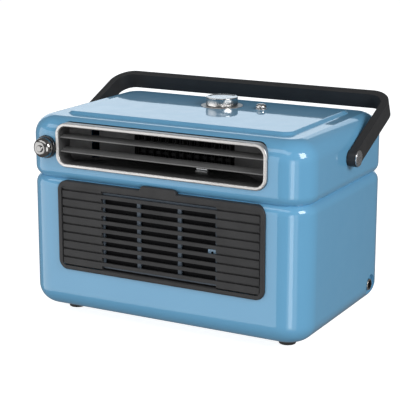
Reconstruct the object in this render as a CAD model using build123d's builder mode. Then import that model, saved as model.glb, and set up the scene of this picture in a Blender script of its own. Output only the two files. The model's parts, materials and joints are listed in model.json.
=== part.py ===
from build123d import *
import math
import os

# Retro-styled fan heater with a ceramic (PTC) element: a rounded metal-look case split by a
# waist groove, a hot-air outlet with two tilting blades above, an intake grille below, a
# selector dial and a push button on top, a thermostat knob on the front and a folding bail.
# Millimetres.  X points right, Y points back, Z points up.  The case is drawn about Y = 0 and
# every piece is written out moved by frame_shift, which puts the origin at floor level under
# the middle of the overall depth, knobs and handle included.

os.makedirs("parts", exist_ok=True)

# ---------------------------------------------------------------- driving dimensions
body_width = 340
body_depth = 223
corner_radius = 31
edge_radius = 22
wall = 3
foot_height = 9.5
seam_z = 159
shoulder_z = 225.5
panel_z = 228.6

lip_radius = 12
lip_depth = 5.7
neck_height = 15
lower_neck = 8.5
upper_neck = 10.5

front_y = -body_depth / 2
back_y = body_depth / 2
side_x = body_width / 2
floor_z = foot_height + wall
roof_z = panel_z - wall

trim_proud = 2.7
outlet_z = 197.5
outlet_width = 247.2
outlet_height = 40.9
outlet_corner = 9.5
throat_width = 124
flange_width = 137
flange_height = 48
flare_y = -91.8
throat_y = -55.9

grille_z = 107.7
grille_width = 253
grille_height = 100.8
grille_corner = 11
slot_pitch = 9.48
slot_count = 10
open_half_width = 70.3

control_y = 33
dial_radius = 18.1
dial_height = 10.4
flange_radius = 23.8
button_x = 49.5
knob_x = -140.6
knob_z = 193.4

pivot_z = 191.8
handle_reach = 118.6
handle_half = 179.9
strap_thickness = 8.8
strap_width = 18.5
handle_corner = 26
handle_lean = 66.5

blade_y = -104.2
blade_pitch = 15.5
blade_z = 198.9
blade_chord = 13.5
blade_droop = 12
crank = 8

rotor_y = 2
rotor_z = 163
rotor_radius = 27.5

inlet_y = 72.7
inlet_z = 30.9
inlet_radius = 6.7
inlet_bore = 5
inlet_back = side_x - 18
inlet_front = side_x - 2
bore_floor = side_x - 12.5
contact_floor = side_x - 15
contact_radius = 4.4

step_foot = 31
step_run = 4
window_width = 248
window_height = 91.4
window_z = 106.9
cover_z = 88
cover_screw_spots = [(-98, 44), (0, 46.5), (98, 44), (-98, -44), (0, -46.5), (98, -44)]
grille_top_slot = 149.8
blade_levels = (blade_z - blade_pitch / 2, blade_z + blade_pitch / 2)
pin_root = outlet_width / 2 - 4
pin_end = outlet_width / 2 + 3.6
crank_x = pin_end + 1.1
element_mid_y = throat_y + 1.6 + 8.5

running = 0.05
fit = 0.3
frame_shift = 5.55


# ---------------------------------------------------------------- shared shapes
def rounded_block(width, depth, low, high, corner, low_radius=0, high_radius=0):
    """Upright block with rounded corners and, where a radius is given, rounded ends."""
    with BuildPart() as block:
        with BuildSketch(Plane.XY.offset(low)):
            RectangleRounded(width, depth, corner)
        extrude(amount=high - low)
        if low_radius:
            fillet(block.faces().sort_by(Axis.Z)[0].edges(), low_radius)
        if high_radius:
            fillet(block.faces().sort_by(Axis.Z)[-1].edges(), high_radius)
    return block.part


def facing_front(y):
    """Sketch plane that looks forwards at depth y: x is X and y is Z."""
    return Plane.XZ.offset(-y)


def facing_right(x):
    """Sketch plane that looks to the right at position x: x is Y and y is Z."""
    return Plane.YZ.offset(x)


def finish(builder, name):
    """Label a finished piece and write it to its own file."""
    placed = builder.part.moved(Location((0, frame_shift, 0)))
    placed.label = name
    export_step(placed, "parts/" + name + ".step")


def screw(x, y, head_z, length, head_radius=3.4, shank_radius=1.7, up=True):
    """Pan-head screw with a cross recess, standing on the underside of its head."""
    turn = 1 if up else -1
    with BuildPart() as body:
        with BuildSketch(Plane.XY.offset(head_z)):
            with Locations((x, y)):
                Circle(head_radius)
        extrude(amount=-2.2 * turn)
        fillet(body.faces().sort_by(Axis.Z)[0 if up else -1].edges(), 1.2)
        with BuildSketch(Plane.XY.offset(head_z)):
            with Locations((x, y)):
                Circle(shank_radius)
        extrude(amount=length * turn)
        with BuildSketch(Plane.XY.offset(head_z - 2.2 * turn)):
            with Locations((x, y)):
                Rectangle(3.6, 0.8)
                Rectangle(0.8, 3.6)
        extrude(amount=1.2 * turn, mode=Mode.SUBTRACT)
    return body.part


# A lip is an arc that stops short of its quarter turn, so the block runs past the seam and is cut.
lip_rise = math.sqrt(lip_radius**2 - (lip_radius - lip_depth) ** 2)
lip_over = lip_radius - lip_rise
shoulder_cut = 0.3

lower_shape = rounded_block(
    body_width, body_depth, foot_height, seam_z + lip_over, corner_radius, edge_radius, lip_radius
)
upper_shape = rounded_block(
    body_width, body_depth, seam_z - lip_over, shoulder_z + shoulder_cut, corner_radius,
    lip_radius, edge_radius
)
lower_keepout = rounded_block(
    body_width + 2 * fit, body_depth + 2 * fit, foot_height, seam_z + lip_over, corner_radius,
    edge_radius, lip_radius
)
upper_keepout = rounded_block(
    body_width + 2 * fit, body_depth + 2 * fit, seam_z - lip_over, shoulder_z, corner_radius,
    lip_radius, edge_radius
)

post_spots = [(140, 40), (-140, 40), (140, -40), (-140, -40)]
foot_spots = [(133, 69), (-133, 69), (133, -69), (-133, -69)]

# ---------------------------------------------------------------- lower housing
lower_cavity = rounded_block(
    body_width - 2 * wall, body_depth - 2 * wall, floor_z, seam_z - neck_height,
    corner_radius - wall, edge_radius - wall
)
lower_mouth = rounded_block(
    body_width - 2 * lower_neck, body_depth - 2 * lower_neck, seam_z - neck_height - 1,
    seam_z + 5, corner_radius - lower_neck
)
recess_radius = 11.8
recess_depth = 4
recess_floor = side_x - recess_depth
with BuildPart() as surround:
    Box(body_width + 60, body_depth + 60, 400)
    add(lower_shape, mode=Mode.SUBTRACT)
outside_of_lower = surround.part

with BuildPart() as lower_housing:
    add(lower_shape)
    split(bisect_by=Plane.XY.offset(seam_z), keep=Keep.BOTTOM)
    add(lower_cavity, mode=Mode.SUBTRACT)
    add(lower_mouth, mode=Mode.SUBTRACT)
    # long screw posts up to the seam, bored from below for a deep-set screw
    with BuildSketch(Plane.XY.offset(floor_z - 1)):
        with Locations(post_spots):
            Circle(5.6)
    extrude(amount=seam_z - floor_z + 1)
    with BuildSketch(Plane.XY.offset(foot_height)):
        with Locations(post_spots):
            Circle(3.8)
    extrude(amount=seam_z - foot_height - 8, mode=Mode.SUBTRACT)
    with BuildSketch(Plane.XY.offset(foot_height)):
        with Locations(post_spots):
            Circle(1.9)
    extrude(amount=seam_z - foot_height + 1, mode=Mode.SUBTRACT)
    # short bosses that take the foot screws
    with BuildSketch(Plane.XY.offset(floor_z - 1)):
        with Locations(foot_spots):
            Circle(5)
    extrude(amount=9)
    with BuildSketch(Plane.XY.offset(foot_height - 1)):
        with Locations(foot_spots):
            Circle(1.75)
    extrude(amount=foot_height + 2.5, mode=Mode.SUBTRACT)
    # window behind the intake grille
    with BuildSketch(facing_front(front_y - 5)):
        with Locations((0, window_z)):
            RectangleRounded(window_width, window_height, 8)
    extrude(amount=-20, mode=Mode.SUBTRACT)
    # window behind the rear cover, with six screw holes round it
    with BuildSketch(facing_front(back_y - 10)):
        with Locations((0, cover_z)):
            RectangleRounded(188, 82, 6)
        with Locations([(x, cover_z + z) for x, z in cover_screw_spots]):
            Circle(1.6)
    extrude(amount=-20, mode=Mode.SUBTRACT)
    # recess for the power inlet, cut across the rear lower corner
    with BuildSketch(facing_right(recess_floor - wall)):
        with Locations((inlet_y, inlet_z)):
            Circle(recess_radius + 3)
    extrude(amount=recess_depth + 1)
    add(outside_of_lower, mode=Mode.SUBTRACT)
    with BuildSketch(facing_right(recess_floor)):
        with Locations((inlet_y, inlet_z)):
            Circle(recess_radius)
    extrude(amount=20, mode=Mode.SUBTRACT)
    with BuildSketch(facing_right(side_x - 20)):
        with Locations((inlet_y, inlet_z)):
            Circle(inlet_radius + 0.15)
    extrude(amount=20, mode=Mode.SUBTRACT)
finish(lower_housing, "lower_housing")

# ---------------------------------------------------------------- upper housing
upper_cavity = rounded_block(
    body_width - 2 * wall, body_depth - 2 * wall, seam_z + neck_height, shoulder_z - wall,
    corner_radius - wall, 0, edge_radius - wall
)
upper_mouth = rounded_block(
    body_width - 2 * upper_neck, body_depth - 2 * upper_neck, seam_z - 8,
    seam_z + neck_height + 1, corner_radius - upper_neck
)
bezel_width = outlet_width + 8.2
bezel_height = outlet_height + 7.9
bezel_corner = outlet_corner + 3.8

with BuildPart() as upper_housing:
    add(upper_shape)
    split(bisect_by=Plane.XY.offset(seam_z), keep=Keep.TOP)
    split(bisect_by=Plane.XY.offset(shoulder_z), keep=Keep.BOTTOM)
    # raised top panel with a soft step all round
    with BuildSketch(Plane.XY.offset(shoulder_z)):
        RectangleRounded(body_width - 2 * step_foot, body_depth - 2 * step_foot, 14)
    extrude(amount=panel_z - shoulder_z, taper=math.degrees(math.atan2(step_run, panel_z - shoulder_z)))
    fillet(upper_housing.faces().sort_by(Axis.Z)[-1].edges(), 2.5)
    # tongue that drops into the lower housing
    with BuildSketch(Plane.XY.offset(seam_z - 4)):
        RectangleRounded(
            body_width - 2 * lower_neck - 2 * fit, body_depth - 2 * lower_neck - 2 * fit,
            corner_radius - lower_neck
        )
    extrude(amount=6)
    add(upper_cavity, mode=Mode.SUBTRACT)
    add(upper_mouth, mode=Mode.SUBTRACT)
    with BuildSketch(Plane.XY.offset(shoulder_z - 6)):
        RectangleRounded(body_width - 2 * step_foot - 14, body_depth - 2 * step_foot - 14, 8)
    extrude(amount=roof_z - shoulder_z + 6, mode=Mode.SUBTRACT)
    # screw posts down to the seam
    with BuildSketch(Plane.XY.offset(seam_z)):
        with Locations(post_spots):
            Circle(5.2)
    extrude(amount=shoulder_z - seam_z - 1)
    with BuildSketch(Plane.XY.offset(seam_z)):
        with Locations(post_spots):
            Circle(1.75)
    extrude(amount=22, mode=Mode.SUBTRACT)
    # outlet opening
    with BuildSketch(facing_front(front_y - 5)):
        with Locations((0, outlet_z)):
            RectangleRounded(bezel_width + 0.4, bezel_height + 0.4, bezel_corner + 0.2)
    extrude(amount=-20, mode=Mode.SUBTRACT)
    # top holes: dial bush and its shallow seat, push button
    with BuildSketch(Plane.XY.offset(panel_z - 6)):
        with Locations((0, control_y)):
            Circle(4.6)
        with Locations((button_x, control_y)):
            Circle(3.8)
    extrude(amount=12, mode=Mode.SUBTRACT)
    with BuildSketch(Plane.XY.offset(panel_z - 0.6)):
        with Locations((0, control_y)):
            Circle(flange_radius + 0.6)
    extrude(amount=5, mode=Mode.SUBTRACT)
    # seat of the thermostat knob on the front left corner
    with BuildSketch(facing_front(front_y - 5)):
        with Locations((knob_x, knob_z)):
            Circle(12.8)
    extrude(amount=-20, mode=Mode.SUBTRACT)
    # handle pivot holes
    with BuildSketch(facing_right(-side_x - 5)):
        with Locations((0, pivot_z)):
            Circle(4.1)
    extrude(amount=body_width + 10, mode=Mode.SUBTRACT)
finish(upper_housing, "upper_housing")

# ---------------------------------------------------------------- rear cover
with BuildPart() as rear_cover:
    with BuildSketch(facing_front(back_y)):
        with Locations((0, cover_z)):
            RectangleRounded(208, 102, 10)
    extrude(amount=-2.4)
    fillet(rear_cover.faces().sort_by(Axis.Y)[-1].edges(), 1)
    with BuildSketch(facing_front(back_y)):
        with Locations((0, cover_z)):
            with GridLocations(82, 8, 2, 9):
                SlotOverall(74, 3.2)
        with Locations([(x, cover_z + z) for x, z in cover_screw_spots]):
            Circle(1.8)
    extrude(amount=-5, mode=Mode.SUBTRACT)
finish(rear_cover, "rear_cover")

with BuildPart() as rear_cover_screws:
    for x, z in cover_screw_spots:
        with BuildSketch(facing_front(back_y + 2.4)):
            with Locations((x, cover_z + z)):
                Circle(3)
        extrude(amount=-1.8)
        with BuildSketch(facing_front(back_y + 2.4)):
            with Locations((x, cover_z + z)):
                Circle(1.5)
        extrude(amount=7)
        with BuildSketch(facing_front(back_y + 4.2)):
            with Locations((x, cover_z + z)):
                Rectangle(3.2, 0.7)
                Rectangle(0.7, 3.2)
        extrude(amount=1, mode=Mode.SUBTRACT)
finish(rear_cover_screws, "rear_cover_screws")

# ---------------------------------------------------------------- feet and case screws
with BuildPart() as feet:
    with BuildSketch(Plane.XY.offset(foot_height)):
        with Locations(foot_spots):
            Circle(10)
    extrude(amount=-foot_height, taper=5)
    fillet(feet.faces().group_by(Axis.Z)[0].edges(), 1)
    with Locations([(x, y, foot_height) for x, y in foot_spots]):
        Hole(1.85)
    with BuildSketch(Plane.XY):
        with Locations(foot_spots):
            Circle(4.2)
    extrude(amount=5, mode=Mode.SUBTRACT)
finish(feet, "feet")

with BuildPart() as foot_screws:
    for x, y in foot_spots:
        add(screw(x, y, 5, 13))
finish(foot_screws, "foot_screws")

with BuildPart() as case_screws:
    for x, y in post_spots:
        add(screw(x, y, seam_z - 8, 26))
finish(case_screws, "case_screws")

# ---------------------------------------------------------------- hot-air outlet
with BuildPart() as outlet_bezel:
    with BuildSketch(facing_front(front_y - trim_proud)):
        with Locations((0, outlet_z)):
            RectangleRounded(bezel_width, bezel_height, bezel_corner)
    extrude(amount=-(trim_proud + 5.3))
    with BuildSketch(facing_front(front_y - trim_proud)):
        with Locations((0, outlet_z)):
            RectangleRounded(outlet_width, outlet_height, outlet_corner)
    extrude(amount=-30, mode=Mode.SUBTRACT)
    rim_edges = outlet_bezel.faces().sort_by(Axis.Y)[0].edges()
    fillet(rim_edges, 1.4)
    with BuildSketch(facing_front(front_y + 0.3)):
        with Locations((0, outlet_z)):
            RectangleRounded(outlet_width + 4.2, outlet_height + 4.2, outlet_corner + 2.1)
    extrude(amount=-30, mode=Mode.SUBTRACT)
finish(outlet_bezel, "outlet_bezel")


def tunnel(width, height, corner, throat, throat_corner):
    """Straight mouth followed by side walls that close in to the throat."""
    with BuildPart() as bore:
        with BuildSketch(facing_front(front_y + 0.4)):
            with Locations((0, outlet_z)):
                RectangleRounded(width, height, corner)
        extrude(amount=-(flare_y - front_y - 0.4))
        with BuildSketch(facing_front(flare_y)):
            with Locations((0, outlet_z)):
                RectangleRounded(width, height, corner)
        with BuildSketch(facing_front(throat_y)):
            with Locations((0, outlet_z)):
                RectangleRounded(throat, height, throat_corner)
        loft()
    return bore.part


duct_outside = tunnel(outlet_width + 3.8, outlet_height + 3.8, outlet_corner + 1.9, throat_width + 4.4, 4)
duct_inside = tunnel(outlet_width, outlet_height, outlet_corner, throat_width, 2)
flare_run = (outlet_width - throat_width) / 2
flare_angle = math.degrees(math.atan2(throat_y - flare_y, flare_run))
slot_share = 0.4
slot_plane = Plane(
    origin=(
        slot_share * flare_run - outlet_width / 2, flare_y + slot_share * (throat_y - flare_y), outlet_z
    ),
    x_dir=(math.cos(math.radians(flare_angle)), math.sin(math.radians(flare_angle)), 0),
    z_dir=(0, 0, 1),
)

with BuildPart() as outlet_duct:
    add(duct_outside)
    with BuildSketch(facing_front(throat_y)):
        with Locations((0, outlet_z)):
            RectangleRounded(flange_width, flange_height, 3)
    extrude(amount=2)
    add(duct_inside, mode=Mode.SUBTRACT)
    with BuildSketch(facing_front(throat_y)):
        with Locations((0, outlet_z)):
            RectangleRounded(throat_width, outlet_height, 2)
    extrude(amount=4, both=True, mode=Mode.SUBTRACT)
    # expansion slot down the left flared wall
    with BuildSketch(slot_plane):
        Rectangle(8.5, 8)
    extrude(amount=outlet_height / 2 - 2, both=True, mode=Mode.SUBTRACT)
    # pivot holes of the blades, through both side walls
    with BuildSketch(facing_right(-side_x)):
        with Locations([(blade_y, z) for z in blade_levels]):
            Circle(1.5 + running)
    extrude(amount=body_width, mode=Mode.SUBTRACT)
finish(outlet_duct, "outlet_duct")

# ---------------------------------------------------------------- tilting blades
for level, z in zip(("lower", "upper"), blade_levels):
    blade_plane = Plane(
        origin=(0, blade_y, z),
        x_dir=(0, math.cos(math.radians(blade_droop)), math.sin(math.radians(blade_droop))),
        z_dir=(1, 0, 0),
    )
    with BuildPart() as blade:
        with BuildSketch(blade_plane):
            SlotOverall(blade_chord, 1.6)
        extrude(amount=outlet_width / 2 - 0.5, both=True)
        # pivot pins, the right one long enough to carry the crank
        with BuildSketch(blade_plane.offset(-pin_root)):
            Circle(1.5)
        extrude(amount=pin_root - pin_end)
        with BuildSketch(blade_plane.offset(pin_root)):
            Circle(1.5)
        extrude(amount=crank_x + 1 - pin_root)
        # crank outside the right wall, with the pin that the link carries
        with BuildSketch(blade_plane.offset(crank_x)):
            with Locations((crank / 2, 0)):
                SlotOverall(crank + 5, 5)
        extrude(amount=1.8)
        with BuildSketch(blade_plane.offset(crank_x)):
            with Locations((crank, 0)):
                Circle(1.2)
        extrude(amount=5)
    finish(blade, level + "_blade")

link_y = blade_y + crank * math.cos(math.radians(blade_droop))
link_rise = crank * math.sin(math.radians(blade_droop))
with BuildPart() as blade_link:
    with BuildSketch(facing_right(crank_x + 2.2)):
        with Locations((link_y, blade_z + link_rise)):
            RectangleRounded(6.4, blade_pitch + 5.4, 2)
        with Locations([(link_y, z + link_rise) for z in blade_levels]):
            SlotOverall(4.6, 2.8, mode=Mode.SUBTRACT)
    extrude(amount=2)
finish(blade_link, "blade_link")

with BuildPart() as link_guide:
    with BuildSketch(facing_right(crank_x + 5.4)):
        with Locations((link_y, outlet_z - 1.6)):
            RectangleRounded(11, 40.8, 1.5)
    extrude(amount=1.4)
    # two cheeks keep the link upright
    with BuildSketch(facing_right(crank_x + 2.2)):
        with Locations((link_y - 4.4, outlet_z - 1), (link_y + 4.4, outlet_z - 1)):
            Rectangle(1.4, 38)
    extrude(amount=3.2)
    # feet that reach the duct wall above and below the cranks
    with BuildSketch(facing_right(outlet_width / 2 - 7)):
        with Locations((link_y, outlet_z - 20.2), (link_y, outlet_z + 17.7)):
            Rectangle(11, 2.8)
    extrude(amount=crank_x + 5.4 - outlet_width / 2 + 7)
    add(duct_outside, mode=Mode.SUBTRACT)
finish(link_guide, "link_guide")

# ---------------------------------------------------------------- guard and heating element
with BuildPart() as outlet_guard:
    with BuildSketch(facing_front(throat_y + 1.6)):
        with Locations((0, outlet_z)):
            RectangleRounded(flange_width, flange_height, 3)
            RectangleRounded(throat_width, outlet_height, 2, mode=Mode.SUBTRACT)
            with GridLocations(9.5, 1, 13, 1):
                Rectangle(1.4, outlet_height + 2)
            with GridLocations(1, outlet_height / 2, 1, 1):
                Rectangle(throat_width + 2, 1.4)
    extrude(amount=1.6)
finish(outlet_guard, "outlet_guard")

with BuildPart() as air_sensor:
    # small metal-cased sensor clipped to the floor of the duct
    with BuildSketch(Plane.XY.offset(outlet_z - outlet_height / 2)):
        with Locations((34, -75)):
            RectangleRounded(15.5, 6, 1)
    extrude(amount=0.8)
    with BuildSketch(facing_right(27.5)):
        with Locations((-75, outlet_z - outlet_height / 2 + 2.4)):
            Circle(2.1)
    extrude(amount=13)
finish(air_sensor, "air_sensor")

element_front = throat_y + 1.6
element_depth = 15
frame_depth = 17
with BuildPart() as element_frame:
    with BuildSketch(facing_front(element_front)):
        with Locations((0, outlet_z)):
            RectangleRounded(flange_width, flange_height, 3)
            RectangleRounded(throat_width - 4, outlet_height - 4, 2, mode=Mode.SUBTRACT)
    extrude(amount=-frame_depth)
    with BuildSketch(facing_front(element_front + 1)):
        with Locations((0, outlet_z)):
            Rectangle(throat_width + 1, outlet_height + 1)
    extrude(amount=-element_depth, mode=Mode.SUBTRACT)
    with BuildSketch(facing_right(throat_width / 2 - 6)):
        with Locations([(element_mid_y, outlet_z + dz) for dz in (-11, 0, 11)]):
            Rectangle(7, 1.4)
    extrude(amount=20, mode=Mode.SUBTRACT)
finish(element_frame, "element_frame")

with BuildPart() as ptc_element:
    # three heating bars with four packs of upright fins between them
    with BuildSketch(facing_front(element_front + 1.2)):
        with Locations((0, outlet_z)):
            with GridLocations(1, 11, 1, 3):
                Rectangle(throat_width, 3.2)
            with GridLocations(3, 1, 41, 1):
                Rectangle(0.8, outlet_height)
            with GridLocations(1, outlet_height - 0.8, 1, 2):
                Rectangle(throat_width, 0.8)
    extrude(amount=-(element_depth - 0.4))
finish(ptc_element, "ptc_element")

with BuildPart() as element_terminals:
    with BuildSketch(facing_right(throat_width / 2)):
        with Locations([(element_mid_y, outlet_z + dz) for dz in (-11, 0, 11)]):
            Rectangle(6.3, 0.8)
    extrude(amount=14)
finish(element_terminals, "element_terminals")

# ---------------------------------------------------------------- tangential blower
scroll_front = element_front + frame_depth
with BuildPart() as blower_scroll:
    with BuildSketch(facing_right(-58)):
        with BuildLine() as back_wall:
            Spline(
                (scroll_front, outlet_z + 21.5), (-10, 216), (16, 203), (34, 183),
                (38, 165), (31, 146), (14, 132)
            )
        trace(line_width=2)
    extrude(amount=116)
    with BuildSketch(facing_right(-58)):
        with BuildLine() as tongue:
            Polyline((scroll_front, outlet_z - 21.5), (-30.5, 171), (-32, 160), (-36, 150))
        trace(line_width=2)
    extrude(amount=116)
    # side plates
    for x in (-60, 58):
        with BuildSketch(facing_right(x)):
            with Locations((1.4, 175)):
                RectangleRounded(77.2, 90, 8)
            with Locations((rotor_y, rotor_z)):
                Circle(7, mode=Mode.SUBTRACT)
        extrude(amount=2)
    # window into the element frame
    with BuildSketch(facing_front(scroll_front + 0.01)):
        with Locations((0, outlet_z)):
            Rectangle(flange_width, 60)
    extrude(amount=10, mode=Mode.SUBTRACT)
finish(blower_scroll, "blower_scroll")

with BuildPart() as impeller:
    # blades
    with BuildSketch(facing_right(-54)):
        with Locations((rotor_y, rotor_z)):
            with PolarLocations(rotor_radius - 3.6, 24):
                with Locations(Rotation(0, 0, 28)):
                    Rectangle(7, 1)
    extrude(amount=108)
    # end discs with hubs, and a stiffening ring in the middle
    for x in (-54, 52.5):
        with BuildSketch(facing_right(x)):
            with Locations((rotor_y, rotor_z)):
                Circle(rotor_radius)
        extrude(amount=1.5)
    with BuildSketch(facing_right(-0.75)):
        with Locations((rotor_y, rotor_z)):
            Circle(rotor_radius)
            Circle(rotor_radius - 8, mode=Mode.SUBTRACT)
    extrude(amount=1.5)
    with BuildSketch(facing_right(42)):
        with Locations((rotor_y, rotor_z)):
            Circle(6)
    extrude(amount=12)
    with BuildSketch(facing_right(-54)):
        with Locations((rotor_y, rotor_z)):
            Circle(2.5)
    extrude(amount=-13)
    with BuildSketch(facing_right(44)):
        with Locations((rotor_y, rotor_z)):
            Circle(2.5)
    extrude(amount=20, mode=Mode.SUBTRACT)
finish(impeller, "impeller")

with BuildPart() as motor_shaft:
    with BuildSketch(facing_right(44)):
        with Locations((rotor_y, rotor_z)):
            Circle(2.5)
    extrude(amount=58)
finish(motor_shaft, "motor_shaft")

with BuildPart() as end_bearing:
    with BuildSketch(facing_right(-62.5)):
        with Locations((rotor_y, rotor_z)):
            Circle(7)
            Circle(2.5 + running, mode=Mode.SUBTRACT)
    extrude(amount=5)
finish(end_bearing, "end_bearing")

with BuildPart() as motor:
    with BuildSketch(facing_right(63)):
        with Locations((rotor_y, rotor_z)):
            Circle(24)
    extrude(amount=32)
    fillet(motor.faces().sort_by(Axis.X)[-1].edges(), 3)
    with BuildSketch(facing_right(63)):
        with Locations((rotor_y, rotor_z)):
            Circle(6.8)
    extrude(amount=-3)
    with BuildSketch(facing_right(50)):
        with Locations((rotor_y, rotor_z)):
            Circle(2.5 + running)
    extrude(amount=60, mode=Mode.SUBTRACT)
finish(motor, "motor")

with BuildPart() as motor_mount:
    # plate against the scroll, with four arms that clamp the motor can
    with BuildSketch(facing_right(60)):
        with Locations((rotor_y, rotor_z)):
            RectangleRounded(62, 62, 8)
            Circle(7.2, mode=Mode.SUBTRACT)
    extrude(amount=3)
    with BuildSketch(facing_right(63)):
        with Locations((rotor_y, rotor_z)):
            with PolarLocations(26.5, 4, start_angle=45):
                Rectangle(4, 12)
            Circle(24.2, mode=Mode.SUBTRACT)
    extrude(amount=18)
finish(motor_mount, "motor_mount")

with BuildPart() as scroll_brackets:
    for side in (-1, 1):
        with BuildSketch(facing_right(side * 60)):
            with Locations((24, (200 + roof_z) / 2)):
                Rectangle(14, roof_z - 200)
        extrude(amount=side * 1.5)
        with BuildSketch(Plane.XY.offset(roof_z)):
            with Locations((side * 69, 24)):
                Rectangle(18, 14)
        extrude(amount=-1.5)
finish(scroll_brackets, "scroll_brackets")

with BuildPart() as thermal_cutout:
    with BuildSketch(Plane.XY.offset(outlet_z + 24)):
        with Locations((-30, element_mid_y)):
            Circle(7)
            Rectangle(24, 7)
    extrude(amount=1)
    with BuildSketch(Plane.XY.offset(outlet_z + 25)):
        with Locations((-30, element_mid_y)):
            Circle(6.4)
    extrude(amount=2.6)
finish(thermal_cutout, "thermal_cutout")

# ---------------------------------------------------------------- intake grille and filter
grille_face = front_y - trim_proud + 0.9
open_width = 2 * open_half_width
slot_levels = [grille_top_slot - slot_pitch * row for row in range(slot_count)]
board_width = grille_width / 2 - 5 - open_half_width
board_thickness = 3.4
slat_thickness = 2.2
slot_height = 5.5
tray_height = window_height - 1.8
tray_low = window_z - tray_height / 2

with BuildPart() as intake_grille:
    with BuildSketch(facing_front(front_y - trim_proud)):
        with Locations((0, grille_z)):
            RectangleRounded(grille_width, grille_height, grille_corner)
    extrude(amount=-8)
    # pull tab on the middle of the top edge
    with BuildSketch(facing_front(front_y - trim_proud)):
        with BuildLine():
            Polyline(
                (-24, grille_z + grille_height / 2 - 3), (-20, grille_z + grille_height / 2 + 4.7),
                (20, grille_z + grille_height / 2 + 4.7), (24, grille_z + grille_height / 2 - 3), close=True
            )
        make_face()
    extrude(amount=-6)
    tab_corners = intake_grille.edges().filter_by(Axis.Y).group_by(Axis.Z)[-1]
    fillet(tab_corners, 3)
    fillet(intake_grille.faces().sort_by(Axis.Y)[0].edges(), 1.8)
    add(lower_keepout, mode=Mode.SUBTRACT)
    add(upper_keepout, mode=Mode.SUBTRACT)
    # shallow tray that fits the window
    with BuildSketch(facing_front(front_y - trim_proud + 1.5)):
        with Locations((0, window_z)):
            RectangleRounded(window_width - 1, tray_height, 7.5)
    extrude(amount=-(trim_proud + 7))
    # hollow behind the boards
    with BuildSketch(facing_front(grille_face + board_thickness)):
        with Locations((0, window_z)):
            RectangleRounded(window_width - 5, tray_height - 4, 5.5)
    extrude(amount=-20, mode=Mode.SUBTRACT)
    # the slats are thinner than the boards
    with BuildSketch(facing_front(grille_face + slat_thickness)):
        with Locations((0, window_z)):
            Rectangle(open_width, tray_height - 1.6)
    extrude(amount=-5, mode=Mode.SUBTRACT)
    # the boards lie a little below the rim
    with BuildSketch(facing_front(front_y - trim_proud - 1)):
        with Locations((0, grille_z - 0.3)):
            RectangleRounded(grille_width - 10, grille_height - 10.6, 5)
    extrude(amount=-1.9, mode=Mode.SUBTRACT)
    # open slots in the middle, closed grooves at both sides
    with BuildSketch(facing_front(grille_face)):
        with Locations([(0, z) for z in slot_levels]):
            Rectangle(open_width, slot_height)
        with Locations((0, window_z)):
            Rectangle(open_width, tray_height - 1.6, mode=Mode.INTERSECT)
    extrude(amount=-slat_thickness, mode=Mode.SUBTRACT)
    with BuildSketch(facing_front(grille_face)):
        for side in (-1, 1):
            with Locations([(side * (open_half_width + board_width / 2), z - 1.75) for z in slot_levels]):
                Rectangle(board_width, 2.3)
            with Locations((side * (grille_width / 2 - 5.6), grille_z - 0.3)):
                Rectangle(1.2, grille_height - 14)
    extrude(amount=-2.4, mode=Mode.SUBTRACT)
    # hooks behind the sill, on which the grille tips open
    with BuildSketch(facing_front(front_y + wall + 2.1)):
        with Locations((-80, tray_low - 1.5), (80, tray_low - 1.5)):
            Rectangle(12, 6)
    extrude(amount=-2)
finish(intake_grille, "intake_grille")

filter_front = grille_face + board_thickness + 0.1
filter_thickness = 2.4
with BuildPart() as filter_frame:
    with BuildSketch(facing_front(filter_front)):
        with Locations((0, window_z)):
            RectangleRounded(window_width - 6, tray_height - 5, 5)
            RectangleRounded(136, tray_height - 13, 3, mode=Mode.SUBTRACT)
            with GridLocations(50, 1, 2, 1):
                Rectangle(4.3, tray_height - 9)
    extrude(amount=-filter_thickness)
finish(filter_frame, "filter_frame")

with BuildPart() as filter_mesh:
    with BuildSketch(facing_front(filter_front + filter_thickness)):
        with Locations((0, window_z)):
            RectangleRounded(window_width - 8, tray_height - 7, 4)
    extrude(amount=-0.6)
finish(filter_mesh, "filter_mesh")

with BuildPart() as filter_clip:
    # small catch at the side of the filter frame
    with BuildSketch(facing_front(filter_front + 0.4)):
        with Locations((63.4, 99)):
            Rectangle(9.2, 9)
            with Locations((0.5, 0)):
                Rectangle(3, 5, mode=Mode.SUBTRACT)
    extrude(amount=-(filter_thickness - 0.4))
finish(filter_clip, "filter_clip")

# ---------------------------------------------------------------- selector dial and push button
with BuildPart() as dial_flange:
    with BuildSketch(Plane.XY.offset(panel_z - 0.6)):
        with Locations((0, control_y)):
            Circle(flange_radius)
            Circle(5, mode=Mode.SUBTRACT)
    extrude(amount=1)
    fillet(dial_flange.faces().sort_by(Axis.Z)[-1].edges(), 0.3)
finish(dial_flange, "dial_flange")

dial_low = panel_z + 0.7
with BuildPart() as dial:
    with BuildSketch(Plane.XY.offset(dial_low)):
        with Locations((0, control_y)):
            Circle(dial_radius)
    extrude(amount=panel_z + dial_height - dial_low)
    with BuildSketch(Plane.XY.offset(dial_low + 1.6)):
        with Locations((0, control_y)):
            with PolarLocations(dial_radius + 0.25, 48):
                Circle(0.6)
    extrude(amount=dial_height - 5, mode=Mode.SUBTRACT)
    fillet(dial.faces().sort_by(Axis.Z)[-1].edges(), 0.7)
    # dished top with a pointer groove
    with BuildSketch(Plane.XY.offset(panel_z + dial_height)):
        with Locations((0, control_y)):
            Circle(dial_radius - 2.2)
    extrude(amount=-0.6, mode=Mode.SUBTRACT)
    with BuildSketch(Plane.XY.offset(panel_z + dial_height - 0.6)):
        with Locations((0, control_y - dial_radius + 5.6)):
            Rectangle(1, 6)
    extrude(amount=-0.5, mode=Mode.SUBTRACT)
    with BuildSketch(Plane.XY.offset(dial_low)):
        with Locations((0, control_y)):
            Circle(3)
    extrude(amount=6, mode=Mode.SUBTRACT)
finish(dial, "dial")

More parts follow.
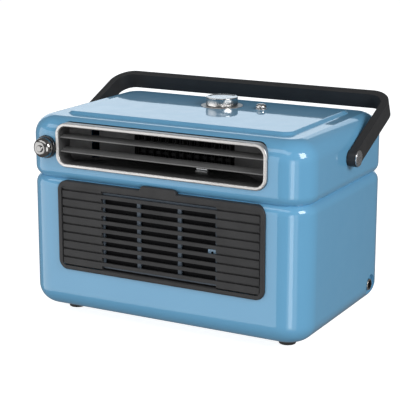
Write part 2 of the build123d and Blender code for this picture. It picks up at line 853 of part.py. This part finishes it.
with BuildPart() as selector_shaft:
    with BuildSketch(Plane.XY.offset(roof_z - 11)):
        with Locations((0, control_y)):
            Circle(3)
    extrude(amount=dial_low + 6 - roof_z + 11)
finish(selector_shaft, "selector_shaft")

with BuildPart() as selector_switch:
    with BuildSketch(Plane.XY.offset(roof_z)):
        with Locations((0, control_y)):
            RectangleRounded(26, 26, 2)
    extrude(amount=-14)
    with BuildSketch(Plane.XY.offset(roof_z)):
        with Locations((0, control_y)):
            Circle(4.5)
    extrude(amount=3.5)
    with BuildSketch(Plane.XY.offset(roof_z - 11.2)):
        with Locations((0, control_y)):
            Circle(3 + running)
    extrude(amount=30, mode=Mode.SUBTRACT)
    # solder tags
    with BuildSketch(Plane.XY.offset(roof_z - 14)):
        with Locations((0, control_y)):
            with PolarLocations(9, 5):
                Rectangle(1, 3)
    extrude(amount=-4)
finish(selector_switch, "selector_switch")

with BuildPart() as button_collar:
    with BuildSketch(Plane.XY.offset(panel_z)):
        with Locations((button_x, control_y)):
            Circle(6.2)
            Circle(3.8, mode=Mode.SUBTRACT)
    extrude(amount=0.7)
    fillet(button_collar.faces().sort_by(Axis.Z)[-1].edges(), 0.3)
finish(button_collar, "button_collar")

button_low = panel_z + 1.9
with BuildPart() as push_button:
    with BuildSketch(Plane.XY.offset(button_low)):
        with Locations((button_x, control_y)):
            Circle(5.9)
    extrude(amount=4.2)
    fillet(push_button.faces().sort_by(Axis.Z)[-1].edges(), 3.6)
    with BuildSketch(Plane.XY.offset(button_low)):
        with Locations((button_x, control_y)):
            Circle(3.5)
    extrude(amount=-8.6)
finish(push_button, "push_button")

with BuildPart() as button_switch:
    with BuildSketch(Plane.XY.offset(roof_z)):
        with Locations((button_x, control_y)):
            RectangleRounded(14, 14, 1.5)
            Circle(3.5 + running, mode=Mode.SUBTRACT)
    extrude(amount=-8)
    with BuildSketch(Plane.XY.offset(roof_z - 8)):
        with Locations((button_x, control_y)):
            RectangleRounded(14, 14, 1.5)
    extrude(amount=-4)
finish(button_switch, "button_switch")

# ---------------------------------------------------------------- thermostat knob
knob_face = front_y - 3.8
with BuildPart() as knob_bezel:
    with BuildSketch(facing_front(knob_face)):
        with Locations((knob_x, knob_z)):
            Circle(12.6)
    extrude(amount=-11.5)
    fillet(knob_bezel.faces().sort_by(Axis.Y)[0].edges(), 1)
    with BuildSketch(facing_front(knob_face)):
        with Locations((knob_x, knob_z)):
            Circle(4.2)
    extrude(amount=-20, mode=Mode.SUBTRACT)
finish(knob_bezel, "knob_bezel")

with BuildPart() as front_knob:
    # domed cap with a small raised boss
    with BuildSketch(facing_front(knob_face - 0.5)):
        with Locations((knob_x, knob_z)):
            Circle(11.2)
    extrude(amount=9)
    fillet(front_knob.faces().sort_by(Axis.Y)[0].edges(), 6.5)
    with BuildSketch(facing_front(knob_face - 0.5)):
        with Locations((knob_x, knob_z)):
            Circle(4)
    extrude(amount=11)
    fillet(front_knob.faces().sort_by(Axis.Y)[0].edges(), 1.5)
    with BuildSketch(facing_front(knob_face)):
        with Locations((knob_x, knob_z)):
            Circle(3)
    extrude(amount=7, mode=Mode.SUBTRACT)
finish(front_knob, "front_knob")

with BuildPart() as thermostat_shaft:
    with BuildSketch(facing_front(knob_face - 7)):
        with Locations((knob_x, knob_z)):
            Circle(3)
    extrude(amount=-24)
finish(thermostat_shaft, "thermostat_shaft")

with BuildPart() as thermostat:
    with BuildSketch(facing_front(knob_face + 11.5)):
        with Locations((knob_x, knob_z)):
            Circle(9.5)
    extrude(amount=-12)
    with BuildSketch(facing_front(knob_face + 11.5)):
        with Locations((knob_x, knob_z)):
            Circle(4.1)
    extrude(amount=9)
    with BuildSketch(facing_front(knob_face)):
        with Locations((knob_x, knob_z)):
            Circle(3 + running)
    extrude(amount=-18, mode=Mode.SUBTRACT)
    # sensing capillary bulb bracket and tags
    with BuildSketch(facing_front(knob_face + 23.5)):
        with Locations((knob_x, knob_z + 4), (knob_x, knob_z - 4)):
            Rectangle(5, 1)
    extrude(amount=-7)
finish(thermostat, "thermostat")

# ---------------------------------------------------------------- folding bail handle
lean = math.radians(handle_lean)
handle_plane = Plane(
    origin=(0, 0, pivot_z), x_dir=(1, 0, 0), z_dir=(0, -math.cos(lean), math.sin(lean))
)
arm_end = -strap_width / 2
with BuildPart() as handle:
    with BuildSketch(handle_plane):
        with BuildLine():
            FilletPolyline(
                (-handle_half, arm_end), (-handle_half, handle_reach), (handle_half, handle_reach),
                (handle_half, arm_end), radius=handle_corner
            )
            Line((handle_half, arm_end), (handle_half - strap_thickness, arm_end))
            FilletPolyline(
                (handle_half - strap_thickness, arm_end),
                (handle_half - strap_thickness, handle_reach - strap_thickness),
                (-handle_half + strap_thickness, handle_reach - strap_thickness),
                (-handle_half + strap_thickness, arm_end),
                radius=handle_corner - strap_thickness
            )
            Line((-handle_half + strap_thickness, arm_end), (-handle_half, arm_end))
        make_face()
    extrude(amount=strap_width / 2, both=True)
    # the arm ends are rounded about the pivot
    end_edges = [
        edge for edge in handle.edges().filter_by(Axis.X)
        if edge.length < strap_thickness + 1 and handle_plane.to_local_coords(edge.center()).Y < 0
    ]
    fillet(end_edges, strap_width / 2 - 0.05)
    with BuildSketch(facing_right(-handle_half - 5)):
        with Locations((0, pivot_z)):
            Circle(4 + running)
    extrude(amount=2 * handle_half + 10, mode=Mode.SUBTRACT)
finish(handle, "handle")

for name, profile in (
    ("pivot_washers", ((side_x, side_x + 0.8, 9),)),
    ("pivot_pins", ((side_x - 10, handle_half + 0.3, 4),)),
    ("pivot_caps", ((handle_half + 0.3, handle_half + 1.5, 8.7),)),
    ("pivot_nuts", ((side_x - 10, side_x - wall, 8),)),
):
    with BuildPart() as fitting:
        for near, far, radius in profile:
            for side in (-1, 1):
                with BuildSketch(facing_right(side * near)):
                    with Locations((0, pivot_z)):
                        if name == "pivot_nuts":
                            RegularPolygon(radius, 6)
                        else:
                            Circle(radius)
                        if name in ("pivot_washers", "pivot_nuts"):
                            Circle(4.02, mode=Mode.SUBTRACT)
                extrude(amount=side * (far - near))
        if name == "pivot_caps":
            fillet(fitting.faces().filter_by(Axis.X).group_by(Axis.X)[0].edges(), 0.5)
            fillet(fitting.faces().filter_by(Axis.X).group_by(Axis.X)[-1].edges(), 0.5)
    finish(fitting, name)

# ---------------------------------------------------------------- power inlet
with BuildPart() as power_inlet:
    with BuildSketch(facing_right(inlet_back)):
        with Locations((inlet_y, inlet_z)):
            Circle(inlet_radius)
    extrude(amount=inlet_front - inlet_back)
    # shoulder behind the wall
    with BuildSketch(facing_right(recess_floor - wall)):
        with Locations((inlet_y, inlet_z)):
            Circle(10)
    extrude(amount=-1.8)
    with BuildSketch(facing_right(bore_floor)):
        with Locations((inlet_y, inlet_z)):
            Circle(inlet_bore)
    extrude(amount=20, mode=Mode.SUBTRACT)
    # narrower pocket at the bottom for the contacts
    with BuildSketch(facing_right(contact_floor)):
        with Locations((inlet_y, inlet_z)):
            Circle(contact_radius)
    extrude(amount=bore_floor - contact_floor, mode=Mode.SUBTRACT)
finish(power_inlet, "power_inlet")

with BuildPart() as inlet_collar:
    with BuildSketch(facing_right(inlet_front)):
        with Locations((inlet_y, inlet_z)):
            Circle(inlet_radius)
            Circle(inlet_bore, mode=Mode.SUBTRACT)
    extrude(amount=1.2)
    fillet(inlet_collar.faces().sort_by(Axis.X)[-1].edges().sort_by(SortBy.LENGTH)[-1], 0.6)
finish(inlet_collar, "inlet_collar")

with BuildPart() as inlet_contacts:
    # ring and centre stud at the bottom of the socket, clear of the plug's body
    with BuildSketch(facing_right(contact_floor)):
        with Locations((inlet_y, inlet_z)):
            Circle(contact_radius)
            Circle(contact_radius - 0.6, mode=Mode.SUBTRACT)
            Circle(1.2)
    extrude(amount=2.2)
finish(inlet_contacts, "inlet_contacts")

# ---------------------------------------------------------------- electrics on the floor
with BuildPart() as terminal_block:
    with BuildSketch(Plane.XY.offset(floor_z)):
        with Locations((108, 78)):
            Rectangle(36, 16)
    extrude(amount=14)
    with BuildSketch(Plane.XY.offset(floor_z + 14)):
        with Locations((108, 78)):
            with GridLocations(11, 1, 3, 1):
                Circle(3)
    extrude(amount=-5, mode=Mode.SUBTRACT)
finish(terminal_block, "terminal_block")

board_x = 100
board_y = 0
board_spots = [(board_x + sx * 26, board_y + sy * 50) for sx in (-1, 1) for sy in (-1, 1)]
with BuildPart() as board_standoffs:
    with BuildSketch(Plane.XY.offset(floor_z)):
        with Locations(board_spots):
            RegularPolygon(3.4, 6)
    extrude(amount=8)
finish(board_standoffs, "board_standoffs")

with BuildPart() as control_board:
    with BuildSketch(Plane.XY.offset(floor_z + 8)):
        with Locations((board_x, board_y)):
            RectangleRounded(60, 110, 2)
    extrude(amount=1.6)
finish(control_board, "control_board")

board_top = floor_z + 9.6
with BuildPart() as board_components:
    with BuildSketch(Plane.XY.offset(board_top)):
        with Locations((board_x - 14, board_y - 30), (board_x + 8, board_y - 30)):
            Rectangle(15, 19)
    extrude(amount=15)
    with BuildSketch(Plane.XY.offset(board_top)):
        with Locations((board_x - 14, board_y + 5), (board_x + 4, board_y + 5)):
            Circle(5)
    extrude(amount=18)
    with BuildSketch(Plane.XY.offset(board_top)):
        with Locations((board_x, board_y + 30)):
            Rectangle(30, 22)
    extrude(amount=20)
    with BuildSketch(Plane.XY.offset(board_top)):
        with Locations((board_x + 20, board_y + 10)):
            Rectangle(6, 24)
    extrude(amount=9)
finish(board_components, "board_components")

with BuildPart() as tilt_switch:
    with BuildSketch(Plane.XY.offset(board_top)):
        with Locations((board_x - 20, board_y + 30)):
            RectangleRounded(8, 12, 1)
    extrude(amount=16)
finish(tilt_switch, "tilt_switch")

with BuildPart() as supply_leads:
    for dz in (-2.5, 2.5):
        with BuildLine() as lead_line:
            lead_path = Spline(
                (side_x - 18, inlet_y, inlet_z + dz), (142, inlet_y + 3, inlet_z + dz),
                (126, 78, floor_z + 7 + dz), tangents=((-1, 0, 0), (-1, 0, 0))
            )
        with BuildSketch(Plane(origin=lead_path @ 0, z_dir=lead_path % 0)):
            Circle(1.4)
        sweep(path=lead_path)
finish(supply_leads, "supply_leads")
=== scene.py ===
import json
import math

import bpy
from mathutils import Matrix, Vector


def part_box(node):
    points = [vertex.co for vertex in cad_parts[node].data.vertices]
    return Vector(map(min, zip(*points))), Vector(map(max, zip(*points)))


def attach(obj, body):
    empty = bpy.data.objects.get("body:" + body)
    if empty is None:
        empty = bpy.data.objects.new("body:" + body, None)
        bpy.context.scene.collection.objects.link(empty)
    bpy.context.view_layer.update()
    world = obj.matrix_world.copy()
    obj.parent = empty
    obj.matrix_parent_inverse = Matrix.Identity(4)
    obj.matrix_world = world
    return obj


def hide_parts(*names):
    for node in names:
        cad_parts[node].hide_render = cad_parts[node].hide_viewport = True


# Looks of a retro fan heater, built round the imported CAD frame. Metres, +Z up, front faces -Y.

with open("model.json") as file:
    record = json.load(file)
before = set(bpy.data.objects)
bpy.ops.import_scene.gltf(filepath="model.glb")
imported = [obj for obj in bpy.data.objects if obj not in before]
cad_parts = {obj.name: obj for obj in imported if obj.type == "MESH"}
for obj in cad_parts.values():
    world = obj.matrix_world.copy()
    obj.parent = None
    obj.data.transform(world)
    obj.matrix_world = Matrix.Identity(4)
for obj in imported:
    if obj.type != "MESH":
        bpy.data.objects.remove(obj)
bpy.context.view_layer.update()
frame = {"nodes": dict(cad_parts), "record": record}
nodes = frame["nodes"]

X, Y, Z = 0, 1, 2
MM = 0.001


# ---------------------------------------------------------------- shader helpers
# sockets of the mix node, which share their names between its data types
MIX_FACTOR = 0
MIX_FLOATS = (2, 3)
MIX_COLORS = (6, 7)
MIX_FLOAT_RESULT = 0
MIX_COLOR_RESULT = 2

# the part of a noise pattern's range that is used
PATTERN_LOW = 0.35
PATTERN_HIGH = 0.65

# scales of the noise patterns, in features per metre
FLOW_MARKS = 35
MOULD_GLOSS = 60
BRUSH_LINES = 1800
BRUSH_TONES = 500
LATHE_RINGS = 4500.0
ENAMEL_CLOUDS = 9
ENAMEL_GLOSS = 40
ENAMEL_PITS = 2600
ORANGE_PEEL = 220
TRACK_GRID = 160.0

# depths of the relief, in metres
BRUSH_DEPTH = 0.00001
RING_DEPTH = 0.000012
PIT_DEPTH = 0.000004
PEEL_DEPTH = 0.00001
TRACK_DEPTH = 0.00002


class Surface:
    """One node material with a Principled shader and the few patterns that the finishes use."""

    def __init__(self, name, color, rough, **sockets):
        self.mat = bpy.data.materials.new(name)
        self.mat.use_nodes = True
        self.tree = self.mat.node_tree
        self.bsdf = self.tree.nodes["Principled BSDF"]
        self.bsdf.inputs["Base Color"].default_value = (*color, 1)
        self.bsdf.inputs["Roughness"].default_value = rough
        for socket, value in sockets.items():
            self.bsdf.inputs[socket.replace("_", " ")].default_value = value
        self.color = color

    def new(self, kind, **values):
        node = self.tree.nodes.new(kind)
        for key, value in values.items():
            if key in node.inputs:
                node.inputs[key].default_value = value
            else:
                setattr(node, key, value)
        return node

    def link(self, start, end):
        self.tree.links.new(start, end)

    def coords(self, stretch=(1, 1, 1)):
        """Position on the piece at rest, in metres, stretched along the axes."""
        place = self.new("ShaderNodeTexCoord")
        mapping = self.new("ShaderNodeMapping")
        mapping.inputs["Scale"].default_value = stretch
        self.link(place.outputs["Object"], mapping.inputs["Vector"])
        return mapping.outputs["Vector"]

    def noise(self, scale, stretch=(1, 1, 1), detail=3):
        node = self.new("ShaderNodeTexNoise", Scale=scale, Detail=detail)
        self.link(self.coords(stretch), node.inputs["Vector"])
        return node.outputs["Fac"]

    def spread(self, fac, low, high):
        """Maps the used part of a pattern to low..high."""
        node = self.new("ShaderNodeMapRange")
        node.inputs["From Min"].default_value = PATTERN_LOW
        node.inputs["From Max"].default_value = PATTERN_HIGH
        node.inputs["To Min"].default_value = low
        node.inputs["To Max"].default_value = high
        self.link(fac, node.inputs["Value"])
        return node.outputs["Result"]

    def vary_color(self, fac, other):
        """Base colour runs from the material's own to another with a pattern."""
        mix = self.new("ShaderNodeMix", data_type="RGBA")
        mix.inputs[MIX_COLORS[0]].default_value = (*self.color, 1)
        mix.inputs[MIX_COLORS[1]].default_value = (*other, 1)
        self.link(self.spread(fac, 0, 1), mix.inputs[MIX_FACTOR])
        self.link(mix.outputs[MIX_COLOR_RESULT], self.bsdf.inputs["Base Color"])

    def vary_rough(self, fac, low, high):
        self.link(self.spread(fac, low, high), self.bsdf.inputs["Roughness"])

    def bump(self, fac, depth):
        """Relief of that depth, in metres, in the surface itself."""
        self.link(self.relief_of(fac, depth), self.bsdf.inputs["Normal"])

    def bump_coat(self, fac, depth):
        """Relief that only the clear coat shows."""
        self.link(self.relief_of(fac, depth), self.bsdf.inputs["Coat Normal"])

    def relief_of(self, fac, depth):
        node = self.new("ShaderNodeBump", Strength=1.0, Distance=depth)
        self.link(fac, node.inputs["Height"])
        return node.outputs["Normal"]


def plastic(name, color, rough, grain=1400, depth=0.00004, **sockets):
    """Moulded plastic: fine spark-eroded grain, faint flow marks and uneven gloss."""
    s = Surface(name, color, rough, **sockets)
    s.vary_color(s.noise(FLOW_MARKS, detail=4), tuple(min(1, c * 1.18) for c in color))
    s.vary_rough(s.noise(MOULD_GLOSS, detail=3), rough - 0.05, rough + 0.06)
    s.bump(s.noise(grain, detail=2), depth)
    return s.mat


def brushed(name, color, rough, stretch):
    """Metal with fine lines along the axis whose stretch is small."""
    s = Surface(name, color, rough, Metallic=1.0)
    lines = s.noise(BRUSH_LINES, stretch, 2)
    s.vary_rough(lines, rough - 0.06, rough + 0.08)
    s.vary_color(s.noise(BRUSH_TONES, stretch, 3), tuple(c * 0.88 for c in color))
    s.bump(lines, BRUSH_DEPTH)
    return s.mat


def turned(name, color, rough, centre, axis):
    """Metal faced on a lathe: fine rings round a centre, seen along an axis."""
    s = Surface(name, color, rough, Metallic=1.0)
    place = s.new("ShaderNodeTexCoord")
    shift = s.new("ShaderNodeVectorMath", operation="SUBTRACT")
    shift.inputs[1].default_value = centre
    s.link(place.outputs["Object"], shift.inputs[0])
    flat = s.new("ShaderNodeVectorMath", operation="MULTIPLY")
    flat.inputs[1].default_value = [0 if i == axis else 1 for i in range(3)]
    s.link(shift.outputs[0], flat.inputs[0])
    length = s.new("ShaderNodeVectorMath", operation="LENGTH")
    s.link(flat.outputs[0], length.inputs[0])
    rings = s.new("ShaderNodeTexNoise", noise_dimensions="1D", Scale=LATHE_RINGS, Detail=2.0)
    s.link(length.outputs["Value"], rings.inputs["W"])
    s.vary_rough(rings.outputs["Fac"], rough - 0.05, rough + 0.1)
    s.bump(rings.outputs["Fac"], RING_DEPTH)
    return s.mat


def enamel(name, color, other):
    """Glossy enamel: deep colour under a clear coat with slight orange peel."""
    coat = {"Coat_Weight": 1.0, "Coat_Roughness": 0.03, "Coat_IOR": 1.5}
    s = Surface(name, color, 0.42, Specular_IOR_Level=0.1, **coat)
    s.vary_color(s.noise(ENAMEL_CLOUDS, detail=2), other)
    s.vary_rough(s.noise(ENAMEL_GLOSS, detail=2), 0.38, 0.46)
    s.bump(s.noise(ENAMEL_PITS, detail=1), PIT_DEPTH)
    s.bump_coat(s.noise(ORANGE_PEEL, detail=1), PEEL_DEPTH)
    return s.mat


def board_laminate(name, color):
    """Circuit board: green mask with a pale grid of tracks."""
    s = Surface(name, color, 0.35, Coat_Weight=0.3)
    red, green, blue = color
    brick = s.new("ShaderNodeTexBrick", Scale=TRACK_GRID)
    brick.inputs["Color1"].default_value = (red, green, blue, 1)
    brick.inputs["Color2"].default_value = (red, green * 1.3, blue, 1)
    brick.inputs["Mortar"].default_value = (red * 2, green * 1.8, blue * 2, 1)
    s.link(s.coords((1, 1, 0)), brick.inputs["Vector"])
    s.link(brick.outputs["Color"], s.bsdf.inputs["Base Color"])
    s.bump(brick.outputs["Fac"], TRACK_DEPTH)
    return s.mat


def middle(node):
    """Centre of the box round one CAD node."""
    low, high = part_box(node)
    return (low + high) / 2


# ---------------------------------------------------------------- finishes of the CAD nodes
# how brushed metal's pattern is stretched: a small value draws lines along that axis
LONG_X = (0.02, 1, 1)
LONG_Z = (1, 1, 0.02)
SHORT_X = (0.05, 1, 1)
SHORT_Z = (1, 1, 0.2)

dial_centre = middle("dial")
cap_centre = middle("pivot_caps")
knob_centre = middle("front_knob")

finishes = {
    "blue_gloss": enamel("blue_gloss", (0.118, 0.325, 0.520), other=(0.124, 0.334, 0.530)),
    "black_plastic": plastic("black_plastic", (0.010, 0.010, 0.011), 0.6, Specular_IOR_Level=0.25),
    "zinc_steel": brushed("zinc_steel", (0.52, 0.52, 0.53), 0.34, SHORT_Z),
    "black_rubber": plastic("black_rubber", (0.016, 0.016, 0.016), 0.75, grain=900, depth=0.00006),
    "satin_chrome": brushed("satin_chrome", (0.56, 0.55, 0.54), 0.42, LONG_X),
    "grey_plastic": plastic("grey_plastic", (0.029, 0.029, 0.030), 0.5, Specular_IOR_Level=0.22),
    "bare_aluminium": brushed("bare_aluminium", (0.68, 0.69, 0.70), 0.36, LONG_Z),
    "brass": brushed("brass", (0.66, 0.49, 0.20), 0.30, SHORT_Z),
    "filter_blue": plastic("filter_blue", (0.060, 0.080, 0.105), 0.45, Specular_IOR_Level=0.3),
    "filter_net": plastic(
        "filter_net", (0.005, 0.005, 0.006), 0.7, grain=2500, depth=0.00002,
        Specular_IOR_Level=0.1,
    ),
    "dial_chrome": turned("dial_chrome", (0.52, 0.51, 0.50), 0.15, dial_centre, Z),
    "gloss_black": plastic(
        "gloss_black", (0.008, 0.009, 0.011), 0.20, grain=700, depth=0.000006, Coat_Weight=0.5
    ),
    "handle_black": plastic(
        "handle_black", (0.022, 0.022, 0.023), 0.48, grain=1800, depth=0.00003,
        Specular_IOR_Level=0.35,
    ),
    "brushed_cap": turned("brushed_cap", (0.60, 0.60, 0.61), 0.26, cap_centre, X),
    "contact_nickel": brushed("contact_nickel", (0.62, 0.61, 0.58), 0.22, SHORT_X),
    "cream_plastic": plastic("cream_plastic", (0.62, 0.57, 0.45), 0.5),
    "board_green": board_laminate("board_green", (0.02, 0.14, 0.06)),
    "component_mix": plastic("component_mix", (0.02, 0.03, 0.09), 0.35),
    "lead_brown": plastic("lead_brown", (0.11, 0.045, 0.02), 0.4),
}

# CAD nodes that look unlike the rest of their slot
node_finishes = {
    "filter_clip": plastic("catch_blue", (0.16, 0.26, 0.36), 0.4),
    "outlet_duct": plastic("duct_grey", (0.060, 0.060, 0.061), 0.5, Specular_IOR_Level=0.3),
    "upper_blade": plastic("blade_grey", (0.115, 0.115, 0.115), 0.4, Specular_IOR_Level=0.5),
    "outlet_guard": plastic("guard_black", (0.004, 0.004, 0.004), 0.7, Specular_IOR_Level=0.1),
    # the heating element's fins are near black as painted shade for the dark throat behind the
    # outlet, not their own metal colour
    "ptc_element": brushed("fin_painted_shade", (0.020, 0.020, 0.021), 0.5, LONG_Z),
    "front_knob": turned("knob_chrome", (0.30, 0.295, 0.29), 0.15, knob_centre, Y),
}
node_finishes["lower_blade"] = node_finishes["upper_blade"]
node_finishes["element_frame"] = node_finishes["outlet_guard"]

slot_of = {row["node"]: row["material_slot"] for row in frame["record"]["subparts"]}
for name, obj in nodes.items():
    finish = node_finishes.get(name) or finishes[slot_of[name]]
    obj.data.materials.clear()
    obj.data.materials.append(finish)

# ---------------------------------------------------------------- turned pieces with finer curves
AROUND = 120  # facets round a plain piece
PER_FLUTE = 4  # facets round each flute
ON_AXIS = 0.01  # radius, in mm, where a profile starts and ends
SHARP = math.radians(40)


def rounded(radius, level, corner, steps=8):
    """Quarter-round profile points from the side of a turned piece up to its end face."""
    points = []
    for i in range(steps + 1):
        turn = math.pi / 2 * i / steps
        out = radius - corner + corner * math.cos(turn)
        up = level - corner + corner * math.sin(turn)
        points.append((out, up))
    return points


def lathe(name, profile, origin, axis, finish, body, node, flutes=0, flute_depth=0.0):
    """Solid of revolution; profile rows are (radius, height) in mm, from the back centre to the
    front centre, and flutes press shallow grooves into the rows marked with a third value."""
    mesh = bpy.data.meshes.new(name)
    spin = Vector((0, 0, 1)).rotation_difference(Vector(axis)).to_matrix()
    steps = max(AROUND, flutes * PER_FLUTE)
    verts = []
    for row in profile:
        for k in range(steps):
            angle = 2 * math.pi * k / steps
            cut = flute_depth * (0.5 - 0.5 * math.cos(flutes * angle)) if len(row) > 2 else 0
            reach = row[0] - cut
            point = Vector((reach * math.cos(angle), reach * math.sin(angle), row[1]))
            verts.append(Vector(origin) + spin @ point * MM)
    faces = []
    for r in range(len(profile) - 1):
        low = r * steps
        high = low + steps
        for k in range(steps):
            after = (k + 1) % steps
            faces.append((low + k, low + after, high + after, high + k))
    faces.append(tuple(range(steps))[::-1])
    faces.append(tuple((len(profile) - 1) * steps + k for k in range(steps)))
    mesh.from_pydata(verts, [], faces)
    mesh.update()
    for polygon in mesh.polygons:
        polygon.use_smooth = True
    mesh.set_sharp_from_angle(angle=SHARP)
    obj = bpy.data.objects.new(name, mesh)
    bpy.context.scene.collection.objects.link(obj)
    mesh.materials.append(finish)
    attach(obj, body)
    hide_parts(node)
    return obj


dial_low, dial_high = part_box("dial")
dial_r = (dial_high[X] - dial_low[X]) / 2 / MM
dial_h = (dial_high[Z] - dial_low[Z]) / MM
RIM_CHAMFER = 0.4
RIM_HEIGHT = 1.2
FLUTES_LOW = 1.5
FLUTES_TOP = 1.6  # below the top face
FLUTES_END = 1.3  # below the top face
DIAL_EDGE = 0.8
LIP_WIDTH = 1.8
DISH_EDGE = 2.5
DISH_DEPTH = 0.6
DIAL_FLUTES = 72
DIAL_FLUTE_DEPTH = 0.22
FLUTED = 1
dial_rows = [
    (ON_AXIS, 0),
    (dial_r - RIM_CHAMFER, 0),
    (dial_r, RIM_CHAMFER),
    (dial_r, RIM_HEIGHT),
    (dial_r, FLUTES_LOW, FLUTED),
    (dial_r, dial_h - FLUTES_TOP, FLUTED),
    (dial_r, dial_h - FLUTES_END),
    *rounded(dial_r, dial_h, DIAL_EDGE),
    (dial_r - LIP_WIDTH, dial_h),
    (dial_r - DISH_EDGE, dial_h - DISH_DEPTH),
    (ON_AXIS, dial_h - DISH_DEPTH),
]
lathe(
    "fluted_dial", dial_rows, (dial_centre[X], dial_centre[Y], dial_low[Z]), (0, 0, 1),
    finishes["dial_chrome"], "dial", "dial", DIAL_FLUTES, DIAL_FLUTE_DEPTH,
)

button_low, button_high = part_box("push_button")
button_centre = middle("push_button")
button_r = (button_high[X] - button_low[X]) / 2 / MM
button_h = (button_high[Z] - button_low[Z]) / MM
STEM_RADIUS = 3.5
HEAD_HEIGHT = 4.2
HEAD_CHAMFER = 0.3
HEAD_SIDE = 3.9  # from the top face down to the chamfer
HEAD_DOME = 3.7
DOME_STEPS = 14
button_rows = [
    (ON_AXIS, 0),
    (STEM_RADIUS, 0),
    (STEM_RADIUS, button_h - HEAD_HEIGHT),
    (button_r - HEAD_CHAMFER, button_h - HEAD_HEIGHT),
    (button_r, button_h - HEAD_SIDE),
    *rounded(button_r, button_h, HEAD_DOME, DOME_STEPS),
    (ON_AXIS, button_h),
]
lathe(
    "domed_button", button_rows, (button_centre[X], button_centre[Y], button_low[Z]), (0, 0, 1),
    finishes["dial_chrome"], "power_button", "push_button",
)

knob_low, knob_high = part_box("front_knob")
knob_r = (knob_high[X] - knob_low[X]) / 2 / MM
knob_h = (knob_high[Y] - knob_low[Y]) / MM
KNOB_CHAMFER = 0.4
KNOB_DOME = 6.6
NIPPLE_HEIGHT = 2
NIPPLE_FOOT = 4.1
NIPPLE_RADIUS = 3.8
NIPPLE_SIDE = 1.2  # from the end face back to the foot
NIPPLE_EDGE = 1.1
NIPPLE_STEPS = 6
knob_rows = [
    (ON_AXIS, 0),
    (knob_r - KNOB_CHAMFER, 0),
    (knob_r, KNOB_CHAMFER),
    *rounded(knob_r, knob_h - NIPPLE_HEIGHT, KNOB_DOME, DOME_STEPS),
    (NIPPLE_FOOT, knob_h - NIPPLE_HEIGHT),
    (NIPPLE_RADIUS, knob_h - NIPPLE_SIDE),
    *rounded(NIPPLE_RADIUS, knob_h, NIPPLE_EDGE, NIPPLE_STEPS),
    (ON_AXIS, knob_h),
]
lathe(
    "domed_knob", knob_rows, (knob_centre[X], knob_high[Y], knob_centre[Z]), (0, -1, 0),
    node_finishes["front_knob"], "thermostat_knob", "front_knob",
)

# ---------------------------------------------------------------- floor, light and camera
FLOOR_SIZE = 8
FLOOR_GLOW = 0.9
WHITE = (1, 1, 1, 1)
bpy.ops.mesh.primitive_plane_add(size=FLOOR_SIZE, location=(0, 0, 0))
floor = bpy.context.object
floor.name = "floor"
white = Surface(
    "floor_white", (0.5, 0.5, 0.5), 0.9, Emission_Color=WHITE, Emission_Strength=FLOOR_GLOW
)
floor.data.materials.append(white.mat)
# the floor lets the low studio cards show in the gloss
floor.visible_diffuse = False
floor.visible_glossy = False
floor.visible_shadow = False

SUBJECT = Vector((0, 0, 0.12))


def softbox(name, azimuth, elevation, distance, width, height, radiance):
    """Area light aimed at the heater; azimuth 0 is straight in front, + to the right."""
    az = math.radians(azimuth)
    el = math.radians(elevation)
    away = Vector((math.sin(az) * math.cos(el), -math.cos(az) * math.cos(el), math.sin(el)))
    data = bpy.data.lights.new(name, "AREA")
    data.shape = "RECTANGLE"
    data.size = width
    data.size_y = height
    data.energy = radiance * math.pi * width * height
    obj = bpy.data.objects.new(name, data)
    bpy.context.scene.collection.objects.link(obj)
    obj.location = SUBJECT + away * distance
    obj.rotation_mode = "QUATERNION"
    obj.rotation_quaternion = (-away).to_track_quat("-Z", "Y")
    return obj


softbox("front_card", -50, -5, distance=2.4, width=3.2, height=2.4, radiance=1.8)
softbox("right_key", 74, 26, distance=2.45, width=1.0, height=1.0, radiance=13)
softbox("high_card", -18, 48, distance=2.4, width=3.0, height=0.7, radiance=2.6)
softbox("corner_card", 38, -12, distance=2.1, width=1.3, height=1.5, radiance=1.3)
softbox("corner_strip", 34, -10, distance=2.0, width=0.45, height=1.2, radiance=3.0)
back_card = softbox("back_card", 208.5, 14, distance=2.6, width=2.8, height=1.4, radiance=1.0)
back_card.data.color = (0.92, 1.08, 1.22)
back_card.visible_camera = False

world = bpy.data.worlds.new("studio")
bpy.context.scene.world = world
world.use_nodes = True
backdrop = world.node_tree.nodes["Background"]
backdrop.inputs["Color"].default_value = WHITE
# the camera sees a white room, while the heater is lit and mirrored by a dim one
ROOM_LIGHT = 0.17
ROOM_SEEN = 1.0
room = world.node_tree.nodes.new("ShaderNodeMix")
room.inputs[MIX_FLOATS[0]].default_value = ROOM_LIGHT
room.inputs[MIX_FLOATS[1]].default_value = ROOM_SEEN
seen = world.node_tree.nodes.new("ShaderNodeLightPath")
world.node_tree.links.new(seen.outputs["Is Camera Ray"], room.inputs[MIX_FACTOR])
world.node_tree.links.new(room.outputs[MIX_FLOAT_RESULT], backdrop.inputs["Strength"])

VIEW_AZIMUTH = math.radians(28.53)
VIEW_PITCH = math.radians(13.92)
VIEW_DISTANCE = 1.5392
VIEW_TARGET = Vector((-0.0102, 0.00555, 0.1242))
LENS = 122.28
SENSOR_WIDTH = 36
back = Vector((
    math.sin(VIEW_AZIMUTH) * math.cos(VIEW_PITCH),
    -math.cos(VIEW_AZIMUTH) * math.cos(VIEW_PITCH),
    math.sin(VIEW_PITCH),
))
camera_data = bpy.data.cameras.new("camera")
camera_data.lens = LENS
camera_data.sensor_width = SENSOR_WIDTH
camera = bpy.data.objects.new("camera", camera_data)
bpy.context.scene.collection.objects.link(camera)
camera.location = VIEW_TARGET + back * VIEW_DISTANCE
camera.rotation_mode = "QUATERNION"
camera.rotation_quaternion = (-back).to_track_quat("-Z", "Y")
bpy.context.scene.camera = camera
bpy.context.scene.view_settings.view_transform = "Standard"
